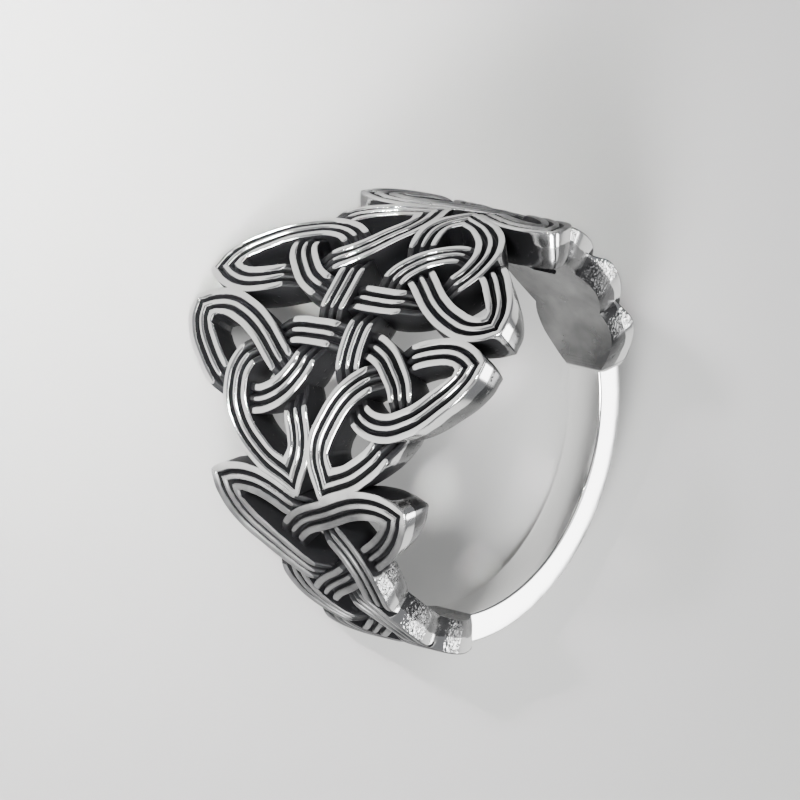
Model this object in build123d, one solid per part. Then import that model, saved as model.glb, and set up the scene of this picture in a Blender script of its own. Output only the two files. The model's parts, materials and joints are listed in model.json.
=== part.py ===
"""Celtic knot ring: one casting, lying on its side as it rests on a table.

It has a pierced knot front, two plaited shoulders and a plain shank. The strands are worked out on the
unrolled face of the band, where "across" runs along the finger and "angle" runs round it from the middle
of the front. Each strand is a wall that is taller than the band and is lofted through short straight
stretches. The bore is cut last, and then the ring is leaned over until it rests on the floor.
"""
from build123d import *
from collections import namedtuple
from math import atan2, cos, degrees, exp, pi, sin
import os

# Band, in millimetres and degrees
BORE_RADIUS = 9.3
FRONT_WALL = 1.9
SHANK_WALL = 1.5
SHANK_WIDTH = 2.16
JOINT_ANGLE = 129.0
JOINT_OVERLAP = 3.0
SHOULDER_DROP = 0.25

# Strands, which reach down past the bore until it is cut; a lobe's tip is blunter than a full mitre
STRAND_WIDTH = 1.5
PLAIT_END_WIDTH = 1.0
GROOVE_DEPTH = 0.3
UNDER_DEPTH = 0.5
UNDER_LENGTH = 1.1
TIP_FULLNESS = 0.6
STRETCH = 0.85
ROOT_DEPTH = 0.4

# Across half a strand, as shares of it: the middle ridge's edge, the groove's floor, the outer ridge's edge
MIDDLE_RIDGE = 0.18
GROOVE_START = 0.24
GROOVE_END = 0.44
OUTER_RIDGE = 0.50

# Knot on the front
KNOT_REACH = 9.05
KNOT_ANGLE = 44.8

# Shoulders, which start past the knot's last tips; the taper and the backing start at shares of them
SHOULDER_REACH = 5.9
SHOULDER_STEP = 4.2
TAPER_START = 0.39
BACKING_START = 0.51
BACKING_WALL = 1.1

# Strands that meet have faces a few hundredths apart, so that no two faces coincide
STAGGER = 0.02
MITRE_OVERLAP = 0.03

FACE_RADIUS = BORE_RADIUS + FRONT_WALL
SHANK_RADIUS = BORE_RADIUS + SHANK_WALL
FACE_PER_DEGREE = FACE_RADIUS * pi / 180
SHOULDER_ANGLE = KNOT_ANGLE + SHOULDER_STEP
SHOULDER_LENGTH = JOINT_ANGLE - SHOULDER_ANGLE

Share = namedtuple("Share", "across angle")

# Middle lines of one quarter of the knot, as shares of KNOT_REACH and KNOT_ANGLE
LEVEL_STRAND = [
    Share(0.0, 0.132),
    Share(0.133, 0.134),
    Share(0.343, 0.167),
    Share(0.497, 0.275),
    Share(0.586, 0.39),
    Share(0.602, 0.525),
    Share(0.547, 0.692),
    Share(0.354, 0.888),
    Share(0.127, 1.0),
]
SIDE_STRAND = [
    Share(0.127, 1.0),
    Share(0.074, 0.80),
    Share(0.127, 0.614),
    Share(0.221, 0.44),
    Share(0.398, 0.29),
    Share(0.563, 0.172),
    Share(0.729, 0.1),
    Share(0.829, 0.081),
    Share(0.93, 0.098),
    Share(1.0, 0.132),
]
UPRIGHT_STRAND = [
    Share(1.0, 0.132),
    Share(0.978, 0.225),
    Share(0.851, 0.39),
    Share(0.68, 0.531),
    Share(0.475, 0.596),
    Share(0.31, 0.536),
    Share(0.182, 0.38),
    Share(0.152, 0.268),
    Share(0.132, 0.134),
    Share(0.128, 0.0),
]

# Where the middle lines of the quarter cross
BARS_CROSS = Share(0.133, 0.134)
LEVEL_SIDE_CROSS = Share(0.453, 0.241)
LEVEL_UPRIGHT_CROSS = Share(0.597, 0.58)
UPRIGHT_SIDE_CROSS = Share(0.21, 0.458)

# Middle lines of the two strands that leave a shoulder lobe, as shares of SHOULDER_REACH and of
# SHOULDER_LENGTH
LOBE_TOP_STRAND = [
    Share(0.97, 0.0),
    Share(0.85, -0.014),
    Share(0.68, -0.019),
    Share(0.51, -0.009),
    Share(0.17, 0.044),
    Share(-0.17, 0.104),
    Share(-0.373, 0.2),
    Share(-0.424, 0.35),
    Share(-0.3, 0.48),
    Share(0.0, 0.612),
    Share(0.26, 0.72),
    Share(0.33, 0.825),
    Share(0.22, 0.94),
    Share(0.09, 1.01),
]
LOBE_FOOT_STRAND = [
    Share(0.97, 0.0),
    Share(0.92, 0.05),
    Share(0.78, 0.119),
    Share(0.59, 0.175),
    Share(0.25, 0.275),
    Share(-0.18, 0.39),
    Share(-0.35, 0.5),
    Share(-0.38, 0.61),
    Share(-0.25, 0.745),
    Share(0.0, 0.885),
    Share(0.1, 1.01),
]

# Where they cross, from the lobes to the shank; "outer" crossings have one on each side
PLAIT_MIDDLE_CROSSES = [Share(0.0, 0.073), Share(0.0, 0.336), Share(0.0, 0.612), Share(0.0, 0.885)]
PLAIT_OUTER_CROSSES = [Share(0.373, 0.212), Share(0.31, 0.48), Share(0.25, 0.745)]

# Half width of the plait's backing, as shares of SHOULDER_REACH and of the backing's own length
BACKING_EDGE = [
    Share(0.32, 0.0),
    Share(0.34, 0.2),
    Share(0.29, 0.5),
    Share(0.25, 0.75),
    Share(0.19, 1.0),
]


def on_knot(share):
    """Point on the unrolled face for a share of the knot."""
    return Vector(share.across * KNOT_REACH, share.angle * KNOT_ANGLE * FACE_PER_DEGREE)


def on_shoulder(share):
    """Point on the unrolled face for a share of a shoulder."""
    angle = SHOULDER_ANGLE + share.angle * SHOULDER_LENGTH
    return Vector(share.across * SHOULDER_REACH, angle * FACE_PER_DEGREE)


def along_shoulder(face_point):
    """How far along a shoulder a point is, from 0 on the knot to 1 at the shank."""
    angle = abs(face_point.Y) / FACE_PER_DEGREE
    return min(1.0, max(0.0, (angle - SHOULDER_ANGLE) / SHOULDER_LENGTH))


def mirrored(points):
    """The same points on the other side of the band's middle line."""
    return [Vector(-point.X, point.Y) for point in points]


def turned_up(points):
    """The same points on the other side of the middle of the front."""
    return [Vector(point.X, -point.Y) for point in points]


def directions(face_point):
    """Outward and round-the-band directions at a point of the unrolled face."""
    angle = face_point.Y / FACE_RADIUS
    outward = Vector(sin(angle), -cos(angle), 0)
    around = Vector(cos(angle), sin(angle), 0)
    return outward, around


def strand_top(face_point, unders, lift):
    """Radius of a strand's top: lower on the shoulder, and lower still where it goes under."""
    drop = SHOULDER_DROP * along_shoulder(face_point)
    under = sum(exp(-((face_point - point).length / UNDER_LENGTH) ** 4) for point in unders)
    return FACE_RADIUS + lift - drop - UNDER_DEPTH * min(1.0, under)


def strand_width(face_point):
    """Width of a strand, which narrows along the plait."""
    narrowed = max(0.0, along_shoulder(face_point) - TAPER_START) / (1 - TAPER_START)
    return STRAND_WIDTH + (PLAIT_END_WIDTH - STRAND_WIDTH) * narrowed


def cross_section(face_point, sideways, left, right, top, root):
    """Outline across a strand, "left" and "right" of its middle line: three ridges, two grooves."""
    outward, around = directions(face_point)
    side = (Vector(0, 0, 1) * sideways.X + around * sideways.Y).normalized()
    foot = Vector(0, 0, face_point.X)
    groove = top - GROOVE_DEPTH
    outline = [
        (-left, root),
        (right, root),
        (right, top),
        (OUTER_RIDGE * right, top),
        (GROOVE_END * right, groove),
        (GROOVE_START * right, groove),
        (MIDDLE_RIDGE * right, top),
        (-MIDDLE_RIDGE * left, top),
        (-GROOVE_START * left, groove),
        (-GROOVE_END * left, groove),
        (-OUTER_RIDGE * left, top),
        (-left, top),
    ]
    return Face(Wire.make_polygon([foot + side * u + outward * r for u, r in outline], close=True))


def stations(points):
    """Points along the smooth line through the given ones, with a longer stretch at each end."""
    line = Spline(*points)
    count = max(6, round(line.length / STRETCH))
    places = [line @ (step / count) for step in range(count + 1)]
    places[1] = (places[1] + places[2]) / 2
    places[-2] = (places[-2] + places[-3]) / 2
    return places


def end_ways(points):
    """Directions of a strand's first and last stretch."""
    places = stations(points)
    return (places[1] - places[0]).normalized(), (places[-1] - places[-2]).normalized()


def strand(points, unders, order, joined_before=None, joined_after=None):
    """One strand. At a lobe's tip it is mitred to the other strand, which leaves the tip the given way."""
    places = stations(points)
    lift = order * STAGGER
    root = BORE_RADIUS - ROOT_DEPTH - order * STAGGER
    sections = []
    for place, before, after in zip(places, [places[0]] + places[:-1], places[1:] + [places[-1]]):
        way = (after - before).normalized()
        sideways = Vector(-way.Y, way.X)
        left = right = strand_width(place) / 2
        joined = {0: joined_before, len(places) - 1: joined_after}.get(len(sections))
        if joined:
            into_tip = way if sections else -way
            sideways = (into_tip - joined).normalized()
            left = left / abs(way.cross(sideways).Z)
            right = left * TIP_FULLNESS
            if sideways.dot(Vector(-way.Y, way.X)) < 0:
                sideways, left, right = -sideways, right, left
            place = place + into_tip * MITRE_OVERLAP
        top = strand_top(place, unders, lift)
        sections.append(cross_section(place, sideways, left, right, top, root))
    return loft(sections, ruled=True)


def across_mirror(way):
    """A direction seen on the other side of the band's middle line."""
    return Vector(-way.X, way.Y)


def knot_strands():
    """The four strands whose copies, turned half round the middle of the front, make the whole knot."""
    level = [on_knot(share) for share in LEVEL_STRAND]
    side = [on_knot(share) for share in SIDE_STRAND]
    upright = [on_knot(share) for share in UPRIGHT_STRAND]
    bars, level_side, level_upright, upright_side = (
        on_knot(share)
        for share in (BARS_CROSS, LEVEL_SIDE_CROSS, LEVEL_UPRIGHT_CROSS, UPRIGHT_SIDE_CROSS)
    )
    whole_level = mirrored(level)[:0:-1] + level
    whole_upright = upright + turned_up(upright)[-2::-1]
    level_end = end_ways(whole_level)[1]
    side_start, side_end = end_ways(side)
    upright_start = end_ways(whole_upright)[0]
    return [
        strand(
            whole_level,
            [bars, level_upright] + mirrored([level_side]),
            0,
            across_mirror(side_start),
            side_start,
        ),
        strand(
            whole_upright,
            [upright_side] + turned_up([bars, level_upright]),
            1,
            -side_end,
            across_mirror(side_end),
        ),
        strand(side, [level_side], 2, -level_end, upright_start),
        strand(
            mirrored(side),
            mirrored([upright_side]),
            3,
            across_mirror(-level_end),
            across_mirror(upright_start),
        ),
    ]


def shoulder_strands():
    """The four strands of one shoulder's lobes and plait."""
    top = [on_shoulder(share) for share in LOBE_TOP_STRAND]
    foot = [on_shoulder(share) for share in LOBE_FOOT_STRAND]
    first, second, third, fourth = (on_shoulder(share) for share in PLAIT_MIDDLE_CROSSES)
    lobe_side, waist, neck = (on_shoulder(share) for share in PLAIT_OUTER_CROSSES)
    top_way = end_ways(top)[0]
    foot_way = end_ways(foot)[0]
    return [
        strand(top, [third] + mirrored([lobe_side]), 4, foot_way),
        strand(mirrored(top), [first, waist] + mirrored([neck]), 5, across_mirror(foot_way)),
        strand(foot, [lobe_side, fourth] + mirrored([waist]), 6, top_way),
        strand(mirrored(foot), [second, neck], 7, across_mirror(top_way)),
    ]


def shoulder_backing():
    """Solid wall behind the end of the plait, which closes its gaps and carries it into the shank."""
    sections = []
    for share in BACKING_EDGE:
        along = BACKING_START + share.angle * (1 - BACKING_START)
        outward, around = directions(on_shoulder(Share(0.0, along)))
        half = share.across * SHOULDER_REACH
        inner = outward * (BORE_RADIUS - ROOT_DEPTH)
        outer = outward * (BORE_RADIUS + BACKING_WALL)
        edge = Vector(0, 0, half)
        corners = [inner - edge, inner + edge, outer + edge, outer - edge]
        sections.append(Face(Wire.make_polygon(corners, close=True)))
    return loft(sections, ruled=True)


def shank():
    """Plain band round the back of the finger, from shoulder to shoulder."""
    start = JOINT_ANGLE - JOINT_OVERLAP
    outward, around = directions(Vector(0, start * FACE_PER_DEGREE))
    inner = outward * (BORE_RADIUS - 2 * ROOT_DEPTH)
    outer = outward * SHANK_RADIUS
    edge = Vector(0, 0, SHANK_WIDTH / 2)
    corners = [inner - edge, inner + edge, outer + edge, outer - edge]
    return revolve(Face(Wire.make_polygon(corners, close=True)), Axis.Z, 360 - 2 * start)


def ring_upright():
    """The whole casting with its bore along Z and the middle of its front towards -Y."""
    half = knot_strands() + shoulder_strands() + [shoulder_backing()]
    front = half[0].fuse(*half[1:])
    ring = front.fuse(front.rotate(Axis.Y, 180), shank())
    bore_length = 4 * KNOT_REACH
    return ring - Cylinder(BORE_RADIUS, bore_length)


def at_rest(ring):
    """Leans the ring over until the lobes and the back of the shank touch the floor at z = 0."""
    back = Vector(0, SHANK_RADIUS, -SHANK_WIDTH / 2)
    front_corners = [corner for corner in ring.vertices() if corner.Y < 0]
    lean = max(atan2(back.Z - corner.Z, back.Y - corner.Y) for corner in front_corners)
    leaned = ring.rotate(Axis.X, -degrees(lean))
    box = leaned.bounding_box()
    return leaned.translate(Vector(0, -(box.min.Y + box.max.Y) / 2, -box.min.Z))


knot_ring = at_rest(ring_upright())
os.makedirs("parts", exist_ok=True)
export_step(knot_ring, "parts/knot_ring.step")
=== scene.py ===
"""Celtic knot ring: one casting of polished silver, blackened in its grooves and openings.

The strands are drawn on the unrolled face of the band, where X runs across the band, along the finger,
and Y runs round it from the middle of the knot. Geometry nodes give each strand its ribs, let it dip
where it goes under another and wrap it round the bore. The strands are then united, bored out and laid
down as the casting lies on the floor.
"""
import json
from collections import namedtuple
from contextlib import contextmanager
from functools import reduce
from math import cos, degrees, exp, pi, radians, sin, sqrt

import bmesh
import bpy
from bpy.props import FloatProperty, FloatVectorProperty, IntProperty, PointerProperty
from mathutils import Matrix, Vector


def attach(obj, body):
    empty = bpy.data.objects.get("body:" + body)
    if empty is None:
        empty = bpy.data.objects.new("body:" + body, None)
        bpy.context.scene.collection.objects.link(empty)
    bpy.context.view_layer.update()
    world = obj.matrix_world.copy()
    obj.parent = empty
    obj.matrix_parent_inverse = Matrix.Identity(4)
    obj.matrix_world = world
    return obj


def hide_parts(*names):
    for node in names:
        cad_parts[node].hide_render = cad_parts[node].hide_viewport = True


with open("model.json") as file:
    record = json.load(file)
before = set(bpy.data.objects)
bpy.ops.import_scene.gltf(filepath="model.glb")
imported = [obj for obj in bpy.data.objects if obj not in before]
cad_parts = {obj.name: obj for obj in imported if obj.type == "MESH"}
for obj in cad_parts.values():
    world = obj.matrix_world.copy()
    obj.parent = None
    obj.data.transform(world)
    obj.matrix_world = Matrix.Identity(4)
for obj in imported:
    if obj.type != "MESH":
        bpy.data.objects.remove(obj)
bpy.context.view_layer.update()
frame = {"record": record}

bl_info = {
    "name": "Celtic Knot Ring",
    "version": (1, 0, 0),
    "blender": (4, 5, 0),
    "location": "View3D > Sidebar > Knot Ring",
    "description": "Pierced knot ring with plaited shoulders in polished and blackened silver",
    "category": "Add Mesh",
}

MM = 0.001
NODE = "knot_ring"
PIECES = ("knot_front", "right_shoulder", "left_shoulder", "shank")

# Mesh detail
CURVE_STEPS = 24
MERGE_DISTANCE = 0.001 * MM
MITRE_OVERLAP = 0.02 * MM
MITRE_REACH = 2.6 * MM
STAGGER = 0.006 * MM
RAY_LIFT = 0.02 * MM
WOBBLE_PER_METRE = 700.0
RECESS_BLUR = 2
BORE_SEGMENTS = 360
BACKING_STEPS = 8
BORE_CUT = 4
SHANK_STEPS = 160
CORNER_STEPS = 4
JOINT_OVERLAP = radians(3)
SHARP_ANGLE = radians(38)

# Where a strand dips, and where the plait ends at the shank
DIP_SHARPNESS = 3.0
GROOVES_END = (0.55 * MM, 1.5 * MM)
END_ROUNDING = (-0.15 * MM, 0.45 * MM)
END_DROP = 0.24 * MM

# Across half a strand, as shares of it
HALF_COLUMNS = (0.0, 0.09, 0.15, 0.19, 0.22, 0.25, 0.29, 0.35, 0.41, 0.45, 0.48, 0.51, 0.55, 0.62, 0.74)
GROOVE_MIDDLE = 0.35
GROOVE_HALF = 0.15
GROOVE_SQUARENESS = 3
MIDDLE_RIB = 0.2
OUTER_RIB = 0.48
OUTER_CREST = 0.74
RIB_CROWN = 0.045 * MM
CROWN_SQUARENESS = 2.5
EDGE_ROUNDING = 0.08 * MM
EDGE_STEPS = 3
UNDERCUT = 0.55
UNDERCUT_START = 0.5

# Rows down a strand's side, as shares of the way to its root
WALL_STEPS = (0.06, 0.14, 0.24, 0.35, 0.46, 0.56, 0.65, 0.74, 0.83, 1.0)

# Patterns of the finish, with their scale in repeats per metre
Pattern = namedtuple("Pattern", "scale detail roughness")
RAGGED = Pattern(2600.0, 4.0, 0.6)
PATCHES = Pattern(500.0, 3.0, 0.5)
SMEARS = Pattern(700.0, 3.0, 0.5)
GRAIN = Pattern(9000.0, 3.0, 0.7)
PITS = Pattern(5200.0, 1.0, 0.5)
FILE_MARKS = Pattern(600.0, 2.0, 0.5)
NICKS = Pattern(3200.0, 2.0, 0.5)

# Heights of its bumps in millimetres
FILE_MARK_HEIGHT = 0.012
GRAIN_HEIGHT = 0.008
PIT_HEIGHT = 0.09
NICK_HEIGHT = -0.03

# Where it changes, from none to full: how far a top faces outward, the share of the view from a wall
# that other walls block, and the noise that makes a nick
TOP_FACING = (0.08, 0.22)
BLACK_WALLS = (0.11, 0.2)
NICKED = (0.12, 0.24)

# In millimetres: past the black depth, above the bore and below the face
BLACK_TOPS = (-0.012, 0.02)
INSIDE = (0.02, 0.005)
LOW_WALLS = (0.7, 0.78)

# In degrees round the band: past the joint, from the joint, and from the middle of the knot
PLAIN_BAND = (-0.3, 0.6)
JOINT_CREASE = (0.5, 0.1)
# From the next range on round the band, the plait's rib tops get painted shade
ON_PLAIT = (43.0, 53.0)
PITTED_BANDS = ((70.0, 76.0), (88.5, 99.0), (110.0, 116.0))
BAND_EDGE = 0.5

# How far the patterns move those limits: a factor, shares, millimetres and degrees
RAGGED_DEPTH = 1.6
PATCHY_WALLS = 0.16
RAGGED_WALLS = 0.12
PATCHY_LOW = 0.6
PATCHY_PLAIT = 8.0
PATCHY_BANDS = 4.0

# Shares of full strength
CREASE_BLACK = 0.75
# Black that the painted shade adds to the plait's rib tops
PLAIT_SHADE_BLACK = 0.4
# Strength, cloudiness and roughness of the grey that holds the low walls, the painted dark reflection on the
# bore and the painted shade on the plait
GREY_AND_SHADE = 0.9
GREY_AND_SHADE_CLOUDS = 0.5
SMEAR_ROUGHNESS = 0.08
GREY_AND_SHADE_ROUGHNESS = 0.15
BLACK_ROUGHNESS = 0.5
METAL_GLOSS = 0.2

FLOOR_SIZE = 3.0
FLOOR_ROUGHNESS = 0.9
SURROUND_COLOUR = (0.45, 0.46, 0.48, 1)
SURROUND_STRENGTH = 0.45
CLIP_START = 0.01
Light = namedtuple("Light", "name place target size spread energy")
LIGHTS = [
    Light("side_light", (0.22, -0.04, 0.17), (0.0, 0.0, 0.0), 0.10, 180.0, 2.0),
    Light("front_light", (0.03, -0.24, 0.17), (0.0, -0.055, 0.0), 0.04, 16.0, 0.1),
    Light("back_light", (-0.09, 0.30, 0.12), (0.0, 0.0, 0.01), 0.12, 180.0, 0.35),
    Light("top_light", (-0.05, -0.05, 0.5), (0.0, 0.0, 0.0), 0.3, 180.0, 0.8),
]

# The finger bore says where the ring lies and how far it leans
BORE = frame["record"]["mounts"][0]
BORE_AXIS = Vector(BORE["axis"]).normalized()
LEAN = Vector((0, 0, 1)).rotation_difference(BORE_AXIS).to_matrix().to_4x4()
RING_TO_FLOOR = Matrix.Translation(BORE["pos_m"]) @ LEAN

Share = namedtuple("Share", "across angle")
Strand = namedtuple("Strand", "name points unders order way_before way_after")


def places(*pairs):
    """Places from pairs of a share across and a share of the angle."""
    return [Share(*pair) for pair in pairs]


# Middle lines of one quarter of the knot, as shares of the knot's reach and angle
LEVEL_STRAND = places(
    (0.0, 0.132), (0.133, 0.134), (0.343, 0.167), (0.497, 0.275), (0.586, 0.39), (0.602, 0.525),
    (0.547, 0.692), (0.354, 0.888), (0.127, 1.0),
)
SIDE_STRAND = places(
    (0.127, 1.0), (0.074, 0.80), (0.127, 0.614), (0.221, 0.44), (0.398, 0.29), (0.563, 0.172),
    (0.729, 0.1), (0.829, 0.081), (0.93, 0.098), (1.0, 0.132),
)
UPRIGHT_STRAND = places(
    (1.0, 0.132), (0.978, 0.225), (0.851, 0.39), (0.68, 0.531), (0.475, 0.596), (0.31, 0.536),
    (0.182, 0.38), (0.152, 0.268), (0.132, 0.134), (0.128, 0.0),
)

# Where they cross: both bars, level and side, level and upright, upright and side
KNOT_CROSSES = places((0.133, 0.134), (0.453, 0.241), (0.597, 0.58), (0.21, 0.458))

# Middle lines of the two strands that leave a shoulder lobe, as shares of the shoulder's reach and length
LOBE_TOP_STRAND = places(
    (0.97, 0.0), (0.85, -0.014), (0.68, -0.019), (0.51, -0.009), (0.17, 0.044), (-0.17, 0.104),
    (-0.373, 0.2), (-0.424, 0.35), (-0.3, 0.48), (0.0, 0.612), (0.26, 0.72), (0.33, 0.825),
    (0.22, 0.94), (0.09, 1.01),
)
LOBE_FOOT_STRAND = places(
    (0.97, 0.0), (0.92, 0.05), (0.78, 0.119), (0.59, 0.175), (0.25, 0.275), (-0.18, 0.39),
    (-0.35, 0.5), (-0.38, 0.61), (-0.25, 0.745), (0.0, 0.885), (0.1, 1.01),
)

# Where they cross, from the lobes to the shank; "outer" crossings have one on each side
PLAIT_MIDDLE_CROSSES = places((0.0, 0.073), (0.0, 0.336), (0.0, 0.612), (0.0, 0.885))
PLAIT_OUTER_CROSSES = places((0.373, 0.212), (0.31, 0.48), (0.25, 0.745))

# Half width of the wall behind the plait, as shares of the shoulder's reach and of the wall's own length
BACKING_EDGE = places((0.32, 0.0), (0.34, 0.2), (0.29, 0.5), (0.25, 0.75), (0.19, 1.0))


def length_setting(name, description, millimetres):
    """A length that a user can set, given here in millimetres."""
    return FloatProperty(
        name=name, description=description, default=millimetres * MM, unit="LENGTH", precision=5
    )


def angle_setting(name, description, angle):
    """An angle that a user can set, given here in degrees."""
    return FloatProperty(name=name, description=description, default=radians(angle), unit="ROTATION")


def share_setting(name, description, share):
    """A share from 0 to 1 that a user can set."""
    return FloatProperty(
        name=name, description=description, default=share, subtype="FACTOR", min=0.0, max=1.0
    )


def colour_setting(name, description, colour):
    """A colour that a user can set."""
    return FloatVectorProperty(
        name=name, description=description, default=colour, subtype="COLOR", min=0, max=1
    )


class KnotRingSizes(bpy.types.PropertyGroup):
    """Sizes of the casting."""

    bore_radius: length_setting("Bore Radius", "Inside radius of the band", BORE["dims"]["r_mm"])
    front_wall: length_setting("Front Wall", "Thickness of the band at the knot", 1.9)
    shank_wall: length_setting("Shank Wall", "Thickness of the plain band", 1.5)
    shank_width: length_setting("Shank Width", "Width of the plain band", 2.16)
    shank_corner: length_setting("Shank Corner", "Rounding of the plain band's edges", 0.1)
    joint_angle: angle_setting("Joint Angle", "From the middle of the knot to the start of the shank", 129.0)
    shoulder_drop: length_setting("Shoulder Drop", "How much thinner the plait is at the shank", 0.25)
    strand_width: length_setting("Strand Width", "Width of one ribbed strand", 1.5)
    plait_end_width: length_setting("Plait End Width", "Width of a strand where the plait ends", 1.0)
    groove_depth: length_setting("Groove Depth", "Depth of the two grooves in a strand", 0.3)
    under_depth: length_setting("Under Depth", "How far a strand dips where it goes under another", 0.5)
    under_length: length_setting("Under Length", "Half length of such a dip", 1.1)
    root_depth: length_setting("Root Depth", "How far a strand passes the bore before the bore is cut", 0.4)
    tip_rounding: length_setting("Tip Rounding", "Outside rounding of the lobes' tips", 0.45)
    wobble: length_setting("Wobble", "How uneven the hand-finished edges are", 0.05)
    knot_reach: length_setting("Knot Reach", "From the middle of the knot to its side tips", 8.97)
    knot_angle: angle_setting("Knot Angle", "From the middle of the knot to its last tips", 44.8)
    shoulder_reach: length_setting("Shoulder Reach", "From the middle line to a shoulder lobe's tip", 5.9)
    shoulder_step: angle_setting("Shoulder Step", "From the knot's last tips to the shoulder's lobes", 4.2)
    taper_start: share_setting("Taper Start", "Share of the shoulder where the strands begin to narrow", 0.39)
    backing_start: share_setting("Backing Start", "Share of the shoulder where its gaps are closed", 0.51)
    backing_wall: length_setting("Backing Wall", "Thickness of the wall behind the plait", 1.1)
    row_spacing: length_setting("Row Spacing", "Distance between the mesh rows along a strand", 0.1)

    @property
    def face_radius(self):
        return self.bore_radius + self.front_wall

    @property
    def shoulder_angle(self):
        return self.knot_angle + self.shoulder_step

    @property
    def shoulder_length(self):
        return self.joint_angle - self.shoulder_angle


class KnotRingFinish(bpy.types.PropertyGroup):
    """Colours and finish of the silver, with the grey that also carries painted shade and a painted
    reflection.
    """

    silver_colour: colour_setting("Silver Colour", "Colour of the polished metal", (0.95, 0.945, 0.935))
    black_colour: colour_setting("Black Colour", "Colour of the blackened recesses", (0.009, 0.009, 0.010))
    # Grey of the low walls, also used for the painted dark reflection on the bore and the painted shade on
    # the plait's rib tops
    grey_and_shade_colour: colour_setting("Smoky Colour", "Colour of the duller surfaces", (0.1, 0.1, 0.102))
    polish: share_setting("Polish", "Roughness of the polished metal", 0.13)
    black_depth: length_setting("Black Depth", "Depth below the face at which the polish ends", 0.06)
    recess_reach: length_setting("Recess Reach", "How near another wall blocks the polishing wheel", 2.2)
    recess_rays: IntProperty(
        name="Recess Rays", description="Directions tried at each point", default=64, min=8
    )


class KnotRingStudio(bpy.types.PropertyGroup):
    """Camera, floor and lights."""

    floor_colour: colour_setting("Floor Colour", "Colour of the plain floor", (0.56, 0.56, 0.55))
    lens: FloatProperty(name="Lens", description="Focal length of the camera in millimetres", default=507.2)
    azimuth: angle_setting("Azimuth", "Camera's turn round the bore from the knot's middle", 22.31)
    elevation: angle_setting("Elevation", "Camera's angle above the plane of the band", 41.07)
    roll: angle_setting("Roll", "Camera's turn about its own view", 13.07)
    distance: length_setting("Distance", "From the middle of the bore to the camera", 562.3)
    aside: length_setting("Aside", "How far right of the view's middle the bore lies", 3.006)
    below: length_setting("Below", "How far below the view's middle the bore lies", 1.448)


def sizes():
    """The sizes set for this scene."""
    return bpy.context.scene.knot_ring_sizes


def finish():
    """The finish set for this scene."""
    return bpy.context.scene.knot_ring_finish


class Tree:
    """A node tree made one call per node. An input is a value, or the socket that feeds it."""

    def __init__(self, tree):
        self.tree = tree

    def add(self, kind, *inputs, **settings):
        """Adds a node and feeds its inputs in their order, where None leaves one as it is."""
        node = self.tree.nodes.new(kind)
        for setting, value in settings.items():
            setattr(node, setting, value)
        open_inputs = [socket for socket in node.inputs if socket.enabled]
        for socket, value in zip(open_inputs, inputs):
            self.feed(socket, value)
        return node

    def named(self, kind, inputs, **settings):
        """Adds a node and feeds the inputs that are named."""
        node = self.add(kind, **settings)
        for name, value in inputs.items():
            self.feed(node.inputs[name], value)
        return node

    def feed(self, socket, value):
        """Links a socket to an input, or sets the input's own value."""
        if isinstance(value, bpy.types.NodeSocket):
            self.tree.links.new(value, socket)
        elif value is not None:
            socket.default_value = value

    def out(self, kind, *inputs, **settings):
        """Adds a node and returns its first output that is in use."""
        node = self.add(kind, *inputs, **settings)
        return next(socket for socket in node.outputs if socket.enabled)

    def math(self, operation, *inputs):
        return self.out("ShaderNodeMath", *inputs, operation=operation)

    def plus(self, *values):
        """Sum of some numbers."""
        return reduce(lambda a, b: self.math("ADD", a, b), values)

    def minus(self, a, b):
        return self.math("SUBTRACT", a, b)

    def times(self, *values):
        """Product of some numbers."""
        return reduce(lambda a, b: self.math("MULTIPLY", a, b), values)

    def over(self, a, b):
        return self.math("DIVIDE", a, b)

    def rest(self, share):
        """What a share leaves of 1."""
        return self.math("SUBTRACT", 1.0, share)

    def vector(self, operation, *inputs):
        return self.out("ShaderNodeVectorMath", *inputs, operation=operation)

    def scaled(self, vector, factor):
        return self.vector("SCALE", vector, factor)

    def dot(self, a, b):
        return self.vector("DOT_PRODUCT", a, b)

    def moved(self, place, way, distance):
        """A place moved some distance in a direction."""
        return self.vector("ADD", place, self.scaled(way, distance))

    def geometry_of(self, item):
        return self.add("GeometryNodeObjectInfo", item).outputs["Geometry"]

    def swept(self, line, profile):
        """A closed mesh of a profile swept along a line."""
        parts = {"Curve": line, "Profile Curve": profile, "Fill Caps": True}
        return self.named("GeometryNodeCurveToMesh", parts).outputs["Mesh"]

    def flat(self, x, y):
        return self.out("ShaderNodeCombineXYZ", x, y, 0.0)

    def parts(self, vector):
        return self.add("ShaderNodeSeparateXYZ", vector).outputs

    def turned(self, vector):
        """A direction on the unrolled face, turned a quarter to the left."""
        x, y, _ = self.parts(vector)
        return self.flat(self.times(y, -1.0), x)

    def ramp(self, value, start, end, low=0.0, high=1.0):
        """A value carried smoothly from one range to another."""
        return self.out("ShaderNodeMapRange", value, start, end, low, high, interpolation_type="SMOOTHSTEP")

    def more(self, a, b):
        return self.out("FunctionNodeCompare", a, b, data_type="FLOAT", operation="GREATER_THAN")

    def both(self, a, b):
        return self.out("FunctionNodeBooleanMath", a, b, operation="AND")

    def chosen(self, condition, otherwise, then):
        """One of two places."""
        return self.out("GeometryNodeSwitch", condition, otherwise, then, input_type="VECTOR")

    def kept(self, geometry, **fields):
        """Keeps fields on a geometry's points as they are now. Returns the geometry, then the values."""
        node = self.add("GeometryNodeCaptureAttribute", geometry, domain="POINT")
        for name, (kind, field) in fields.items():
            node.capture_items.new(kind, name)
            self.tree.links.new(field, node.inputs[name])
        return [node.outputs["Geometry"]] + [node.outputs[name] for name in fields]


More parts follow.
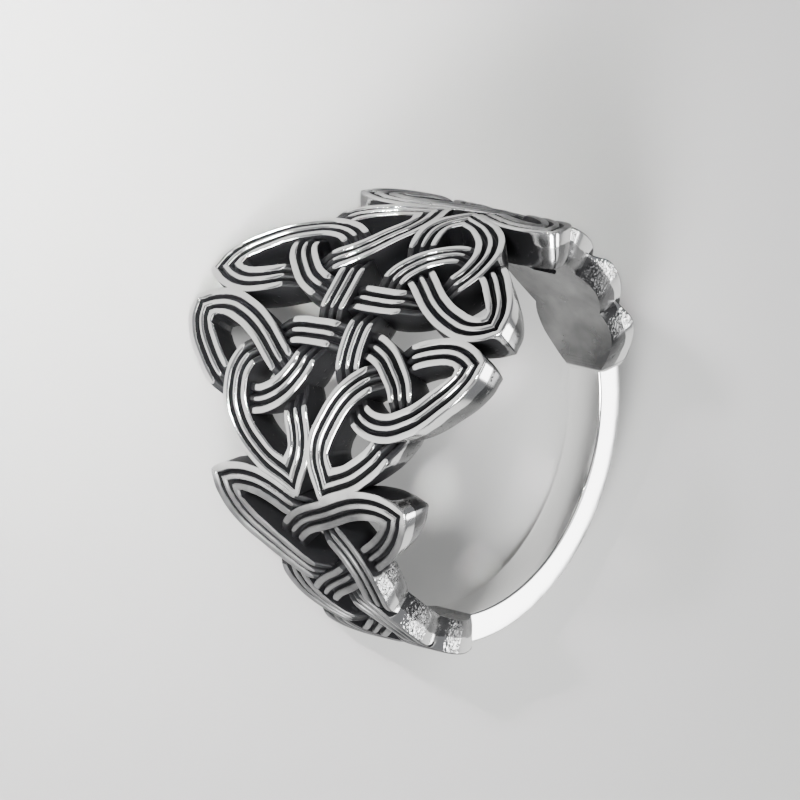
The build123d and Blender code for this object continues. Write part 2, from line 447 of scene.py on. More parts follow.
def geometry_tree(name, **inputs):
    """A geometry node tree with a geometry, a material and the inputs listed under each kind of socket."""
    tree = bpy.data.node_groups.new(name, "GeometryNodeTree")
    inputs = {"Geometry": ("Geometry",), **inputs, "Material": ("Material",)}
    for kind, labels in inputs.items():
        for label in labels:
            tree.interface.new_socket(name=label, in_out="INPUT", socket_type="NodeSocket" + kind)
    tree.interface.new_socket(name="Geometry", in_out="OUTPUT", socket_type="NodeSocketGeometry")
    return Tree(tree), tree.nodes.new("NodeGroupInput").outputs


def end_tree(tree, geometry, material):
    """Ends a geometry node tree with real mesh data and its material."""
    real = tree.out("GeometryNodeRealizeInstances", geometry)
    finished = tree.named("GeometryNodeSetMaterial", {"Geometry": real, "Material": material})
    tree.named("NodeGroupOutput", {"Geometry": finished.outputs["Geometry"]})
    return tree.tree


FACE_INPUTS = ("Face Radius", "Shoulder Start", "Shoulder Length", "Shoulder Drop")


def face_values():
    """What face_height reads, under the names of its inputs."""
    ring = sizes()
    start = ring.shoulder_angle * ring.face_radius
    length = ring.shoulder_length * ring.face_radius
    return dict(zip(FACE_INPUTS, (ring.face_radius, start, length, ring.shoulder_drop)))


def face_height(tree, given, along):
    """Radius of the band's face, which drops a little along each shoulder."""
    past = tree.minus(tree.math("ABSOLUTE", along), given["Shoulder Start"])
    share = tree.over(past, given["Shoulder Length"])
    share.node.use_clamp = True
    return tree.minus(given["Face Radius"], tree.times(share, given["Shoulder Drop"]))


def strand_tree():
    """Tree for one ribbed strand, made from the middle line that it follows on the unrolled face."""
    tree, given = geometry_tree(
        "Ribbed Strand",
        Object=("Rib Profile", "Dips"),
        Vector=("Way Before", "Way After"),
        Float=FACE_INPUTS + (
            "Root Radius", "Lift", "Under Depth", "Under Length", "Tip Rounding", "Wobble", "Row Spacing"
        ),
    )
    bezier = tree.out("GeometryNodeCurveSplineType", given["Geometry"], spline_type="BEZIER")
    smooth = tree.out("GeometryNodeCurveSetHandles", bezier, handle_type="AUTO", mode={"LEFT", "RIGHT"})
    fine = tree.out("GeometryNodeSetSplineResolution", smooth, None, CURVE_STEPS)
    rows = {"Curve": fine, "Length": given["Row Spacing"]}
    line = tree.named("GeometryNodeResampleCurve", rows, mode="LENGTH").outputs["Curve"]

    # Height of the strand's top along its middle line
    position = tree.out("GeometryNodeInputPosition")
    round_face = tree.parts(position)[1]
    dips = {"Geometry": tree.geometry_of(given["Dips"]), "Sample Position": position}
    nearest = tree.named("GeometryNodeProximity", dips, target_element="POINTS")
    apart = tree.over(nearest.outputs["Distance"], given["Under Length"])
    dip = tree.math("EXPONENT", tree.times(tree.math("POWER", apart, DIP_SHARPNESS), -1.0))
    top = tree.minus(face_height(tree, given, round_face), tree.times(dip, given["Under Depth"]))
    top = tree.plus(top, given["Lift"])

    # Towards the shank the grooves run out and the end is rounded down to it
    joint = tree.plus(given["Shoulder Start"], given["Shoulder Length"])
    left = tree.minus(joint, tree.math("ABSOLUTE", round_face))
    grooved = tree.ramp(left, *GROOVES_END)
    ended = tree.rest(tree.out("ShaderNodeMapRange", left, *END_ROUNDING))
    top = tree.minus(top, tree.times(tree.math("POWER", ended, 2.0), END_DROP))
    line, centre, way, half, top, grooved, along = tree.kept(
        line,
        centre=("VECTOR", position),
        way=("VECTOR", tree.out("GeometryNodeInputTangent")),
        half=("FLOAT", tree.out("GeometryNodeInputRadius")),
        top=("FLOAT", top),
        grooved=("FLOAT", grooved),
        along=("FLOAT", tree.add("GeometryNodeSplineParameter").outputs["Length"]),
    )

    # The profile gives, for each point across the strand, its share across, its depth and its share down
    profile = tree.geometry_of(given["Rib Profile"])
    profile, rib = tree.kept(profile, rib=("VECTOR", tree.out("GeometryNodeInputPosition")))
    sweep = tree.swept(line, profile)
    across, depth, down = tree.parts(rib)
    depth = tree.times(depth, grooved)

    to_end = tree.minus(tree.out("GeometryNodeCurveLength", line), along)
    tips = [
        Tip(tree, line, half, along, 0.0, given["Way Before"]),
        Tip(tree, line, half, to_end, 1.0, given["Way After"]),
    ]
    spot = tree.moved(centre, tree.turned(way), tree.times(across, half))
    for tip in tips:
        spot = tip.mitred(spot, across, way)
    for tip in tips:
        spot = tip.rounded(spot, given["Tip Rounding"])

    # Uneven edges of the hand-finished casting
    noise = tree.named("ShaderNodeTexNoise", {"Vector": spot, "Scale": WOBBLE_PER_METRE})
    drift = tree.vector("SUBTRACT", noise.outputs["Color"], (0.5, 0.5, 0.5))
    spot = tree.moved(spot, drift, given["Wobble"])

    # Wrapped round the bore
    x, y, _ = tree.parts(spot)
    surface = tree.minus(top, depth)
    radius = tree.out("ShaderNodeMix", down, surface, given["Root Radius"], data_type="FLOAT")
    angle = tree.over(y, given["Face Radius"])
    wrapped = tree.out(
        "ShaderNodeCombineXYZ",
        tree.times(radius, tree.math("SINE", angle)),
        tree.times(radius, tree.times(tree.math("COSINE", angle), -1.0)),
        x,
    )
    strand = tree.out("GeometryNodeSetPosition", sweep, None, wrapped)
    merge = tree.named("GeometryNodeMergeByDistance", {"Geometry": strand, "Distance": MERGE_DISTANCE})
    return end_tree(tree, merge.outputs["Geometry"], given["Material"])


class Tip:
    """A strand's end at a lobe's tip, mitred to the strand that leaves the tip the given way, if any does."""

    def __init__(self, tree, line, half, distance, factor, way):
        self.tree = tree
        place = {"Curves": line, "Value": half, "Factor": factor}
        sample = tree.named("GeometryNodeSampleCurve", place, data_type="FLOAT", mode="FACTOR")
        self.distance = distance
        self.half = sample.outputs["Value"]
        self.end = sample.outputs["Position"]
        self.tangent = sample.outputs["Tangent"]
        into = tree.scaled(self.tangent, 1.0 if factor else -1.0)
        self.joined = tree.more(tree.vector("LENGTH", way), 0.5)
        self.point = tree.moved(self.end, into, MITRE_OVERLAP)
        self.mitre = tree.vector("NORMALIZE", tree.vector("SUBTRACT", into, way))
        self.slant = tree.dot(tree.turned(self.tangent), self.mitre)

    def mitred(self, spot, across, way):
        """A place on the unrolled face, slid along the strand so that the last row lies on the mitre."""
        tree = self.tree
        aside = tree.times(across, self.half)
        corner = tree.moved(self.point, self.mitre, tree.over(aside, self.slant))
        square = tree.moved(self.end, tree.turned(self.tangent), aside)
        slide = tree.dot(tree.vector("SUBTRACT", corner, square), self.tangent)
        near = tree.out("ShaderNodeMapRange", self.distance, 0.0, MITRE_REACH, 1.0, 0.0)
        slid = tree.moved(spot, way, tree.times(slide, near))
        return tree.chosen(self.joined, spot, slid)

    def rounded(self, spot, rounding):
        """A place on the unrolled face, drawn in if it lies in the point that the rounding takes off."""
        tree = self.tree
        steep = tree.math("ABSOLUTE", self.slant)
        back = tree.over(tree.minus(self.half, rounding), steep)
        centre = tree.moved(self.point, self.mitre, back)
        offset = tree.vector("SUBTRACT", spot, centre)
        distance = tree.vector("LENGTH", offset)
        outward = tree.scaled(tree.turned(self.tangent), tree.math("SIGN", self.slant))
        share = tree.over(tree.dot(offset, outward), distance)
        drawn_in = tree.moved(centre, offset, share)
        ahead = tree.more(tree.dot(offset, self.mitre), tree.times(distance, steep))
        at_tip = tree.both(tree.both(ahead, self.joined), tree.more(MITRE_REACH, self.distance))
        return tree.chosen(at_tip, spot, drawn_in)


def even_directions(count):
    """Directions spread evenly over a sphere along a spiral."""
    directions = []
    for step in range(count):
        height = 1 - (2 * step + 1) / count
        turn = step * pi * (3 - sqrt(5))
        radius = sqrt(1 - height * height)
        directions.append(Vector((radius * cos(turn), radius * sin(turn), height)))
    return directions


def wear_and_shade_tree():
    """Tree that marks where polish, blackening, painted shade and a painted reflection lie on a piece.

    It stores the depth below the face in millimetres, how much of the view from each point other walls
    block, how far the surface faces outward, the height above the bore in millimetres, and the place
    round the band in degrees.
    """
    tree, given = geometry_tree(
        "Wear", Object=("Whole",), Float=FACE_INPUTS + ("Bore Radius", "Recess Reach")
    )
    position = tree.out("GeometryNodeInputPosition")
    normal = tree.out("GeometryNodeInputNormal")
    x, y, _ = tree.parts(position)
    from_axis = tree.flat(x, y)
    outward = tree.vector("NORMALIZE", from_axis)
    radius = tree.vector("LENGTH", from_axis)
    angle = tree.math("ARCTAN2", x, tree.times(y, -1.0))
    along = tree.times(angle, given["Face Radius"])
    sunk = tree.minus(face_height(tree, given, along), radius)

    whole = tree.geometry_of(given["Whole"])
    start = tree.moved(position, normal, RAY_LIFT)
    blocked, tried = 0.0, 0.0
    for aim in even_directions(finish().recess_rays):
        weight = tree.math("MAXIMUM", tree.dot(normal, aim), 0.0)
        ray = tree.named("GeometryNodeRaycast", {
            "Target Geometry": whole,
            "Source Position": start,
            "Ray Direction": aim,
            "Ray Length": given["Recess Reach"],
        })
        blocked = tree.plus(blocked, tree.times(ray.outputs["Is Hit"], weight))
        tried = tree.plus(tried, weight)
    recess = tree.over(blocked, tried)

    geometry = given["Geometry"]
    marks = {
        "sunk": tree.over(sunk, MM),
        "recess": tree.out("GeometryNodeBlurAttribute", recess, RECESS_BLUR, data_type="FLOAT"),
        "facing": tree.dot(normal, outward),
        "off_bore": tree.over(tree.minus(radius, given["Bore Radius"]), MM),
        "round": tree.math("DEGREES", tree.math("ABSOLUTE", angle)),
    }
    for name, field in marks.items():
        mark = {"Geometry": geometry, "Name": name, "Value": field}
        store = tree.named("GeometryNodeStoreNamedAttribute", mark, data_type="FLOAT", domain="POINT")
        geometry = store.outputs["Geometry"]
    return end_tree(tree, geometry, given["Material"])


def shank_tree():
    """Tree for the plain band: a rounded oblong swept round the back of the bore."""
    around = ("Start Angle", "Sweep Angle", "Middle Radius")
    tree, given = geometry_tree("Plain Shank", Float=around + ("Thickness", "Width", "Corner"))
    arc = tree.named("GeometryNodeCurveArc", {
        "Resolution": SHANK_STEPS,
        "Radius": given["Middle Radius"],
        "Start Angle": given["Start Angle"],
        "Sweep Angle": given["Sweep Angle"],
    }, mode="RADIUS")
    oblong = tree.out("GeometryNodeCurvePrimitiveQuadrilateral", given["Thickness"], given["Width"])
    corners = {"Curve": oblong, "Count": CORNER_STEPS, "Radius": given["Corner"]}
    fillet = tree.named("GeometryNodeFilletCurve", corners, mode="POLY")
    band = tree.swept(arc.outputs["Curve"], fillet.outputs["Curve"])
    return end_tree(tree, band, given["Material"])


def on_knot(shares):
    """Points on the unrolled face for shares of the knot."""
    ring = sizes()
    return [
        Vector((share.across * ring.knot_reach, share.angle * ring.knot_angle * ring.face_radius, 0))
        for share in shares
    ]


def on_shoulder(shares):
    """Points on the unrolled face for shares of a shoulder."""
    ring = sizes()
    angles = [ring.shoulder_angle + share.angle * ring.shoulder_length for share in shares]
    return [
        Vector((share.across * ring.shoulder_reach, angle * ring.face_radius, 0))
        for share, angle in zip(shares, angles)
    ]


def mirrored(points):
    """The same points on the other side of the band's middle line."""
    return [Vector((-point.x, point.y, 0)) for point in points]


def turned_up(points):
    """The same points on the other side of the middle of the knot."""
    return [Vector((point.x, -point.y, 0)) for point in points]


def first_way(points):
    """Direction in which a line of points starts."""
    return (points[1] - points[0]).normalized()


def strand_half_width(point):
    """Half the width of a strand, which narrows along the plait."""
    ring = sizes()
    along = (abs(point.y) / ring.face_radius - ring.shoulder_angle) / ring.shoulder_length
    narrowed = min(1.0, max(0.0, along - ring.taper_start) / (1 - ring.taper_start))
    return (ring.strand_width + (ring.plait_end_width - ring.strand_width) * narrowed) / 2


def half_turned_strand(strand):
    """The same strand after half a turn about the middle of the knot."""
    return strand._replace(
        name=strand.name + "_turned",
        points=mirrored(turned_up(strand.points)),
        unders=mirrored(turned_up(strand.unders)),
        way_before=-strand.way_before,
        way_after=-strand.way_after,
    )


def knot_strands():
    """The eight strands of the knot: four, and the same four after half a turn."""
    level, side, upright = on_knot(LEVEL_STRAND), on_knot(SIDE_STRAND), on_knot(UPRIGHT_STRAND)
    bars, level_side, level_upright, upright_side = on_knot(KNOT_CROSSES)
    whole_level = mirrored(level)[:0:-1] + level
    whole_upright = upright + turned_up(upright)[-2::-1]
    leaves_level = first_way(level[::-1])
    leaves_side_start = first_way(side)
    leaves_side_end = first_way(side[::-1])
    leaves_upright = first_way(upright)
    flip = Matrix.Diagonal((-1, 1, 1))
    flip_up = Matrix.Diagonal((1, -1, 1))
    quarter = [
        Strand(
            "level", whole_level, [bars, level_upright] + mirrored([level_side]), 0,
            flip @ leaves_side_start, leaves_side_start,
        ),
        Strand(
            "upright", whole_upright, [upright_side] + turned_up([bars, level_upright]), 1,
            leaves_side_end, flip_up @ leaves_side_end,
        ),
        Strand("side", side, [level_side], 2, leaves_level, leaves_upright),
        Strand(
            "other_side", mirrored(side), mirrored([upright_side]), 3,
            flip @ leaves_level, flip @ leaves_upright,
        ),
    ]
    return quarter + [half_turned_strand(strand) for strand in quarter]


def shoulder_strands():
    """The four strands of one shoulder's lobes and plait."""
    top, foot = on_shoulder(LOBE_TOP_STRAND), on_shoulder(LOBE_FOOT_STRAND)
    first, second, third, fourth = on_shoulder(PLAIT_MIDDLE_CROSSES)
    lobe_side, waist, neck = on_shoulder(PLAIT_OUTER_CROSSES)
    top_way = first_way(top)
    foot_way = first_way(foot)
    flip = Matrix.Diagonal((-1, 1, 1))
    free = Vector((0, 0, 0))
    return [
        Strand("top", top, [third] + mirrored([lobe_side]), 4, foot_way, free),
        Strand("other_top", mirrored(top), [first, waist] + mirrored([neck]), 5, flip @ foot_way, free),
        Strand("foot", foot, [lobe_side, fourth] + mirrored([waist]), 6, top_way, free),
        Strand("other_foot", mirrored(foot), [second, neck], 7, flip @ top_way, free),
    ]


def link_object(name, data):
    """A new object in the scene that holds some data."""
    item = bpy.data.objects.new(name, data)
    bpy.context.scene.collection.objects.link(item)
    return item


def evaluated_mesh(item):
    """Plain mesh of an object with its modifiers worked out."""
    graph = bpy.context.evaluated_depsgraph_get()
    return bpy.data.meshes.new_from_object(item.evaluated_get(graph))


def through_tree(item, tree, values):
    """Plain mesh of an object after a geometry node tree with the given named inputs."""
    modifier = item.modifiers.new(tree.name, "NODES")
    modifier.node_group = tree
    sockets = tree.interface.items_tree
    identifiers = {socket.name: socket.identifier for socket in sockets if socket.in_out == "INPUT"}
    for name, value in values.items():
        modifier[identifiers[name]] = value
    mesh = evaluated_mesh(item)
    item.modifiers.remove(modifier)
    return mesh


@contextmanager
def opened(mesh):
    """Opens a mesh for editing and writes it back at the end."""
    shape = bmesh.new()
    shape.from_mesh(mesh)
    yield shape
    shape.to_mesh(mesh)
    shape.free()


def outward_faces(mesh):
    """Turns a closed mesh's faces outward."""
    with opened(mesh) as shape:
        bmesh.ops.recalc_face_normals(shape, faces=shape.faces)
    return mesh


def point_cloud(name, points):
    """Object whose vertices mark places on the unrolled face."""
    mesh = bpy.data.meshes.new(name)
    mesh.from_pydata(points, [], [])
    return link_object(name, mesh)


def line_object(name, points, cyclic=False, radius=None):
    """Curve object of one run of points, each with a radius from a function of its place."""
    curve = bpy.data.curves.new(name, "CURVE")
    curve.dimensions = "3D"
    spline = curve.splines.new("POLY")
    spline.points.add(len(points) - 1)
    for knot, point in zip(spline.points, points):
        knot.co = (*point, 1)
        knot.radius = radius(point) if radius else 1.0
    spline.use_cyclic_u = cyclic
    return link_object(name, curve)


def rib_depth(across):
    """Depth of the flat ribs and the two grooves below a strand's top, at a share across it."""
    share = abs(across)
    groove = exp(-abs((share - GROOVE_MIDDLE) / GROOVE_HALF) ** GROOVE_SQUARENESS)
    if share < GROOVE_MIDDLE:
        crown = min(1.0, share / MIDDLE_RIB) ** CROWN_SQUARENESS
    else:
        crown = min(1.0, max(0.0, OUTER_CREST - share) / (OUTER_CREST - OUTER_RIB)) ** CROWN_SQUARENESS
    return sizes().groove_depth * groove + RIB_CROWN * crown


def rib_profile():
    """Closed profile of a strand: share across, depth in metres, and share of the way down to the root."""
    half = sizes().strand_width / 2
    side = [Vector((across, rib_depth(across), 0)) for across in HALF_COLUMNS]
    for step in range(EDGE_STEPS + 1):
        turn = radians(90) * step / EDGE_STEPS
        side.append(Vector((1 - EDGE_ROUNDING * (1 - sin(turn)) / half, EDGE_ROUNDING * (1 - cos(turn)), 0)))
    for down in WALL_STEPS:
        tucked = UNDERCUT * max(0.0, (down - UNDERCUT_START) / (1 - UNDERCUT_START)) ** 2
        side.append(Vector((1 - tucked, EDGE_ROUNDING, down)))
    other_side = [Vector((-point.x, point.y, point.z)) for point in side[1:]]
    return line_object("rib_profile", side[::-1] + other_side, cyclic=True)


def ribbed_mesh(strand, tree, profile):
    """Mesh of one strand, wrapped round the bore."""
    ring = sizes()
    line = line_object(strand.name, strand.points, radius=strand_half_width)
    dips = point_cloud(strand.name + "_dips", strand.unders)
    mesh = through_tree(line, tree, {
        **face_values(),
        "Rib Profile": profile,
        "Dips": dips,
        "Way Before": strand.way_before,
        "Way After": strand.way_after,
        "Root Radius": ring.bore_radius - ring.root_depth,
        "Lift": strand.order * STAGGER,
        "Under Depth": ring.under_depth,
        "Under Length": ring.under_length,
        "Tip Rounding": ring.tip_rounding,
        "Wobble": ring.wobble,
        "Row Spacing": ring.row_spacing,
    })
    bpy.data.objects.remove(line)
    bpy.data.objects.remove(dips)
    return outward_faces(mesh)


def combined(name, meshes, operation):
    """One closed mesh: the first one united with the others, or cut by them."""
    items = [link_object(name, mesh) for mesh in meshes]
    for item in items[1:]:
        step = items[0].modifiers.new(operation, "BOOLEAN")
        step.operation = operation
        step.solver = "MANIFOLD"
        step.object = item
    mesh = evaluated_mesh(items[0])
    for item in items:
        bpy.data.objects.remove(item)
    mesh.name = name
    return mesh


def largest_part(mesh):
    """Deletes every loose scrap of a mesh, so that its largest part is left."""
    with opened(mesh) as shape:
        unseen = set(shape.verts)
        parts = []
        while unseen:
            part = {unseen.pop()}
            rim = part
            while rim:
                rim = {vertex for known in rim for edge in known.link_edges for vertex in edge.verts} - part
                part |= rim
            unseen -= part
            parts.append(part)
        for part in sorted(parts, key=len)[:-1]:
            bmesh.ops.delete(shape, geom=list(part), context="VERTS")
    return mesh


def bore_cutter():
    """Cylinder that cuts the finger bore."""
    ring = sizes()
    mesh = bpy.data.meshes.new("bore_cutter")
    with opened(mesh) as shape:
        bmesh.ops.create_cone(
            shape, cap_ends=True, segments=BORE_SEGMENTS, radius1=ring.bore_radius,
            radius2=ring.bore_radius, depth=BORE_CUT * ring.knot_reach,
        )
    return mesh


def backing_mesh():
    """Wall behind the end of the plait, which closes its gaps."""
    ring = sizes()
    corners = []
    inner = ring.bore_radius - ring.root_depth
    outer = ring.bore_radius + ring.backing_wall
    for before, after in zip(BACKING_EDGE, BACKING_EDGE[1:]):
        for step in range(BACKING_STEPS + (after is BACKING_EDGE[-1])):
            part = step / BACKING_STEPS
            share = before.angle + (after.angle - before.angle) * part
            half = (before.across + (after.across - before.across) * part) * ring.shoulder_reach
            along = ring.backing_start + share * (1 - ring.backing_start)
            turn = Matrix.Rotation(ring.shoulder_angle + along * ring.shoulder_length, 3, "Z")
            for radius, z in ((inner, -half), (inner, half), (outer, half), (outer, -half)):
                corners.append(turn @ Vector((0, -radius, z)))
    last = len(corners) - 4
    faces = []
    for row in range(0, last, 4):
        for side in range(4):
            other = (side + 1) % 4
            faces.append((row + side, row + other, row + 4 + other, row + 4 + side))
    faces += [range(4), range(last, last + 4)]
    mesh = bpy.data.meshes.new("backing")
    mesh.from_pydata(corners, [], faces)
    return outward_faces(mesh)


def bored_piece(name, meshes):
    """Piece of the casting: its parts united and bored out."""
    solid = combined(name, meshes, "UNION")
    mesh = largest_part(combined(name, [solid, bore_cutter()], "DIFFERENCE"))
    mesh.set_sharp_from_angle(angle=SHARP_ANGLE)
    return link_object(name, mesh)


def ribbed_meshes(strands):
    """Meshes of several strands."""
    tree = strand_tree()
    profile = rib_profile()
    meshes = [ribbed_mesh(strand, tree, profile) for strand in strands]
    bpy.data.objects.remove(profile)
    return meshes


class KNOTRING_OT_knot_front(bpy.types.Operator):
    """Add the pierced knot at the front of the ring"""

    bl_idname = "knotring.knot_front"
    bl_label = "Knot Front"

    def execute(self, context):
        bored_piece("knot_front", ribbed_meshes(knot_strands()))
        return {"FINISHED"}


class KNOTRING_OT_shoulders(bpy.types.Operator):
    """Add the two plaited shoulders, one after half a turn of the other"""

    bl_idname = "knotring.shoulders"
    bl_label = "Plaited Shoulders"

    def execute(self, context):
        shoulder = bored_piece("right_shoulder", ribbed_meshes(shoulder_strands()) + [backing_mesh()])
        other = shoulder.data.copy()
        other.transform(Matrix.Rotation(pi, 4, "Y"))
        link_object("left_shoulder", other)
        return {"FINISHED"}


class KNOTRING_OT_shank(bpy.types.Operator):
    """Add the plain band round the back of the finger"""

    bl_idname = "knotring.shank"
    bl_label = "Plain Shank"

    def execute(self, context):
        ring = sizes()
        start = ring.joint_angle - JOINT_OVERLAP
        host = link_object("shank", bpy.data.meshes.new("shank"))
        host.data = through_tree(host, shank_tree(), {
            "Start Angle": start - pi / 2,
            "Sweep Angle": 2 * (pi - start),
            "Middle Radius": ring.bore_radius + ring.shank_wall / 2,
            "Thickness": ring.shank_wall,
            "Width": ring.shank_width,
            "Corner": ring.shank_corner,
        })
        outward_faces(host.data).set_sharp_from_angle(angle=SHARP_ANGLE)
        return {"FINISHED"}


def joined_copy(pieces):
    """One object with a copy of every piece's mesh, for the rays that find the recesses."""
    mesh = bpy.data.meshes.new("whole")
    with opened(mesh) as shape:
        for piece in pieces:
            shape.from_mesh(piece.data)
    return link_object("whole", mesh)


class ShaderTree(Tree):
    """A material's node tree."""

    def __init__(self, tree):
        super().__init__(tree)
        self.place = self.add("ShaderNodeTexCoord").outputs["Object"]

    def mark(self, name):
        """A value that the tree of wear and painted shade marks stored on the mesh."""
        return self.add("ShaderNodeAttribute", attribute_name=name).outputs["Fac"]

    def noise(self, pattern):
        """Noise around 0, from -0.5 to 0.5."""
        node = self.named("ShaderNodeTexNoise", {
            "Vector": self.place,
            "Scale": pattern.scale,
            "Detail": pattern.detail,
            "Roughness": pattern.roughness,
        })
        return self.minus(node.outputs["Fac"], 0.5)

    def mixed(self, factor, a, b):
        return self.out("ShaderNodeMix", factor, a, b, data_type="FLOAT")

    def colour_mixed(self, factor, a, b):
        return self.out("ShaderNodeMix", factor, a, b, data_type="RGBA")


def silver_material():
    """Polished silver, blackened wherever a polishing wheel doesn't reach, with a painted dark reflection on
    the bore and painted shade on the plait's rib tops.
    """
    look = finish()
    material = bpy.data.materials.new("blackened_silver")
    material.use_nodes = True
    material.node_tree.nodes.clear()
    tree = ShaderTree(material.node_tree)
    plus, minus, times, rest, ramp = tree.plus, tree.minus, tree.times, tree.rest, tree.ramp
    sunk, recess, facing, off_bore, angle = (
        tree.mark(name) for name in ("sunk", "recess", "facing", "off_bore", "round")
    )
    ragged = tree.noise(RAGGED)
    patches = tree.noise(PATCHES)
    past_joint = minus(angle, degrees(sizes().joint_angle))
    plain = ramp(past_joint, *PLAIN_BAND)
    is_top = ramp(facing, *TOP_FACING)
    is_inside = ramp(off_bore, *INSIDE)
    bare = tree.math("MAXIMUM", plain, is_inside)
    is_wall = minus(rest(is_top), bare)

    # Black: tops that lie deeper than the wheel reaches, walls near other walls and the joint's crease
    depth = times(sunk, plus(1.0, times(ragged, RAGGED_DEPTH)))
    top_black = ramp(minus(depth, look.black_depth / MM), *BLACK_TOPS)
    blocked = plus(recess, times(patches, PATCHY_WALLS), times(ragged, RAGGED_WALLS))
    wall_black = ramp(blocked, *BLACK_WALLS)
    black = times(tree.mixed(is_top, wall_black, top_black), rest(bare))
    crease = ramp(tree.math("ABSOLUTE", past_joint), *JOINT_CREASE)
    crease = times(crease, plus(CREASE_BLACK, ragged), rest(is_inside))
    black = tree.math("MAXIMUM", black, crease)

    # Grey: a painted dark reflection on the bore inside the pierced part, grey low on its open walls, and
    # painted shade on the rib tops of the plait, which also leaves them partly black
    low = times(is_wall, ramp(plus(sunk, times(patches, PATCHY_LOW)), *LOW_WALLS))
    on_plait = ramp(plus(angle, times(patches, PATCHY_PLAIT)), *ON_PLAIT)
    # Painted shade: the plait's rib tops are darkened and partly blackened where they stand in shade and
    # mirror a dark floor
    plait_top_shade = times(is_top, times(on_plait, rest(plain)))
    black = tree.math("MAXIMUM", black, times(plait_top_shade, PLAIT_SHADE_BLACK))
    clouds = plus(GREY_AND_SHADE, times(patches, GREY_AND_SHADE_CLOUDS))
    # Painted dark reflection on the bore and painted shade on the plait's rib tops, together with the grey
    # low walls
    grey_and_painted_shade = times(plus(is_inside, low, plait_top_shade), clouds, rest(plain))

    # Pitted bands on the plait's open walls, where the casting was never filed
    pitted = 0.0
    edge = plus(angle, times(patches, PATCHY_BANDS))
    for start, end in PITTED_BANDS:
        begun = ramp(edge, start - BAND_EDGE, start + BAND_EDGE)
        left = ramp(edge, end + BAND_EDGE, end - BAND_EDGE)
        pitted = plus(pitted, times(begun, left))
    pitted = times(pitted, is_wall)

    # Bumps: file marks, the grain of the black, the pits and the nicks
    filed = times(tree.noise(FILE_MARKS), FILE_MARK_HEIGHT)
    grained = times(tree.noise(GRAIN), black, GRAIN_HEIGHT)
    hammered = times(tree.noise(PITS), pitted, PIT_HEIGHT)
    nicked = times(ramp(tree.noise(NICKS), *NICKED, 0.0, NICK_HEIGHT), low)
    heights = plus(filed, grained, plus(hammered, nicked))
    bump = tree.named("ShaderNodeBump", {"Height": heights, "Distance": MM, "Strength": 1.0})

    # Silver turned grey for the low walls, the painted dark reflection on the bore and the painted shade on
    # the plait
    colour = tree.colour_mixed(grey_and_painted_shade, (*look.silver_colour, 1), (*look.grey_and_shade_colour, 1))
    smear = times(tree.noise(SMEARS), SMEAR_ROUGHNESS)
    polished = plus(smear, look.polish, times(grey_and_painted_shade, GREY_AND_SHADE_ROUGHNESS))
    shader = tree.named("ShaderNodeBsdfPrincipled", {
        "Base Color": tree.colour_mixed(black, colour, (*look.black_colour, 1)),
        "Metallic": rest(black),
        "Roughness": tree.mixed(black, polished, BLACK_ROUGHNESS),
        "Specular IOR Level": METAL_GLOSS,
        "Normal": bump.outputs["Normal"],
    })
    tree.named("ShaderNodeOutputMaterial", {"Surface": shader.outputs["BSDF"]})
    return material


class KNOTRING_OT_silver(bpy.types.Operator):
    """Give the pieces their blackened and worn silver with painted shade and a painted reflection, and lay
    the ring on the floor
    """

    bl_idname = "knotring.silver"
    bl_label = "Silver Finish"

    def execute(self, context):
        material = silver_material()
        tree = wear_and_shade_tree()
        pieces = [bpy.data.objects[name] for name in PIECES]
        whole = joined_copy(pieces)
        for piece in pieces:
            worn_and_shaded = through_tree(piece, tree, {
                **face_values(),
                "Whole": whole,
                "Bore Radius": sizes().bore_radius,
                "Recess Reach": finish().recess_reach,
                "Material": material,
            })
            worn_and_shaded.transform(RING_TO_FLOOR)
            piece.data = worn_and_shaded
            worn_and_shaded.name = piece.name
            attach(piece, "root")
            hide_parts(NODE)
        bpy.data.objects.remove(whole)
        return {"FINISHED"}


def camera_place():
    """Where the camera stands and how it is turned, from the photograph's view of the bore."""
    studio = bpy.context.scene.knot_ring_studio
    level = cos(studio.elevation)
    towards = Vector((level * sin(studio.azimuth), -level * cos(studio.azimuth), sin(studio.elevation)))
    bore = Vector((0, 0, 1))
    up = (bore - bore.dot(towards) * towards).normalized()
    side = up.cross(towards)
    right = cos(studio.roll) * up - sin(studio.roll) * side
    down = sin(studio.roll) * up + cos(studio.roll) * side
    turn = Matrix((right, -down, towards)).transposed()
    spot = studio.distance * towards - studio.aside * right - studio.below * down
    return RING_TO_FLOOR @ Matrix.Translation(spot) @ turn.to_4x4()


def soft_light(light):
    """A square area light that faces its target."""
    data = bpy.data.lights.new(light.name, "AREA")
    data.shape = "SQUARE"
    data.size = light.size
    data.spread = radians(light.spread)
    data.energy = light.energy
    lamp = link_object(light.name, data)
    lamp.location = light.place
    lamp.visible_camera = False
    lamp.rotation_euler = (Vector(light.place) - Vector(light.target)).to_track_quat("Z", "Y").to_euler()


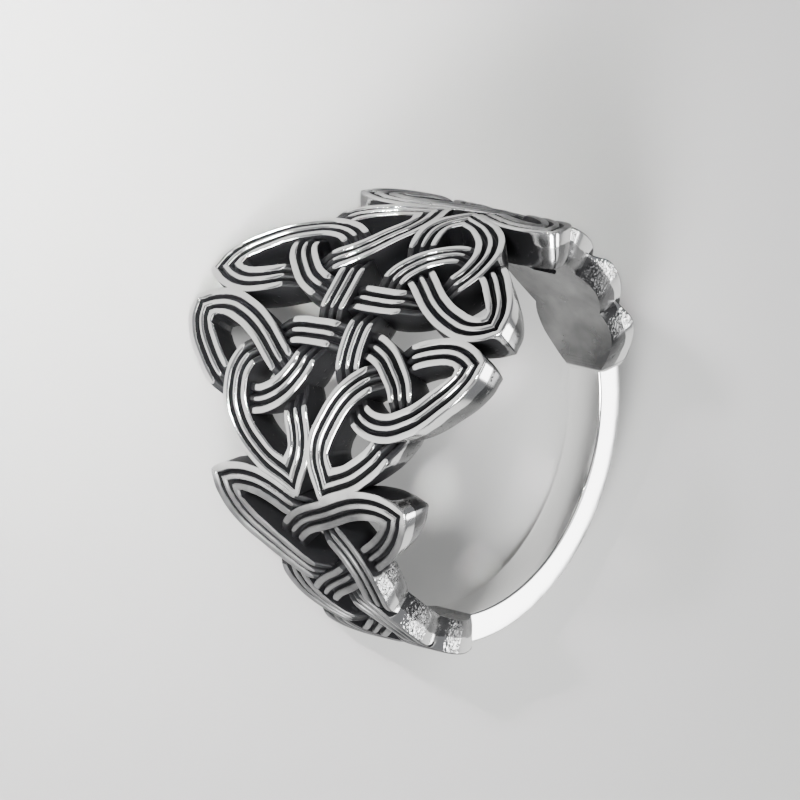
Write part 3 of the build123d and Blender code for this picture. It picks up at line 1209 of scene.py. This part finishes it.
class KNOTRING_OT_studio(bpy.types.Operator):
    """Add the floor, the soft lights and the camera"""

    bl_idname = "knotring.studio"
    bl_label = "Studio"

    def execute(self, context):
        studio = context.scene.knot_ring_studio
        half = FLOOR_SIZE / 2
        mesh = bpy.data.meshes.new("floor")
        corners = [(-half, -half, 0), (half, -half, 0), (half, half, 0), (-half, half, 0)]
        mesh.from_pydata(corners, [], [(0, 1, 2, 3)])
        material = bpy.data.materials.new("pale_floor")
        material.use_nodes = True
        shader = material.node_tree.nodes["Principled BSDF"]
        shader.inputs["Base Color"].default_value = (*studio.floor_colour, 1)
        shader.inputs["Roughness"].default_value = FLOOR_ROUGHNESS
        mesh.materials.append(material)
        link_object("floor", mesh)

        for light in LIGHTS:
            soft_light(light)
        world = bpy.data.worlds.new("soft_surround")
        world.use_nodes = True
        surround = world.node_tree.nodes["Background"]
        surround.inputs["Color"].default_value = SURROUND_COLOUR
        surround.inputs["Strength"].default_value = SURROUND_STRENGTH
        context.scene.world = world

        camera = bpy.data.cameras.new("camera")
        camera.lens = studio.lens
        camera.clip_start = CLIP_START
        holder = link_object("camera", camera)
        holder.matrix_world = camera_place()
        context.scene.camera = holder
        return {"FINISHED"}


class KNOTRING_PT_panel(bpy.types.Panel):
    """Steps and settings of the knot ring"""

    bl_label = "Knot Ring"
    bl_idname = "KNOTRING_PT_panel"
    bl_space_type = "VIEW_3D"
    bl_region_type = "UI"
    bl_category = "Knot Ring"

    def draw(self, context):
        for step in STEPS:
            self.layout.operator(step.bl_idname)
        scene = context.scene
        for group in (scene.knot_ring_sizes, scene.knot_ring_finish, scene.knot_ring_studio):
            box = self.layout.box()
            for setting in group.__annotations__:
                box.prop(group, setting)


STEPS = (
    KNOTRING_OT_knot_front,
    KNOTRING_OT_shoulders,
    KNOTRING_OT_shank,
    KNOTRING_OT_silver,
    KNOTRING_OT_studio,
)
CLASSES = (KnotRingSizes, KnotRingFinish, KnotRingStudio) + STEPS + (KNOTRING_PT_panel,)


def register():
    """Registers the classes and the scene's settings."""
    for item in CLASSES:
        bpy.utils.register_class(item)
    bpy.types.Scene.knot_ring_sizes = PointerProperty(type=KnotRingSizes)
    bpy.types.Scene.knot_ring_finish = PointerProperty(type=KnotRingFinish)
    bpy.types.Scene.knot_ring_studio = PointerProperty(type=KnotRingStudio)


def unregister():
    """Removes the scene's settings and the classes."""
    del bpy.types.Scene.knot_ring_studio
    del bpy.types.Scene.knot_ring_finish
    del bpy.types.Scene.knot_ring_sizes
    for item in reversed(CLASSES):
        bpy.utils.unregister_class(item)


def main():
    """Makes the whole scene."""
    register()
    bpy.ops.knotring.knot_front()
    bpy.ops.knotring.shoulders()
    bpy.ops.knotring.shank()
    bpy.ops.knotring.silver()
    bpy.ops.knotring.studio()
    bpy.context.view_layer.update()


if __name__ == "__main__":
    main()
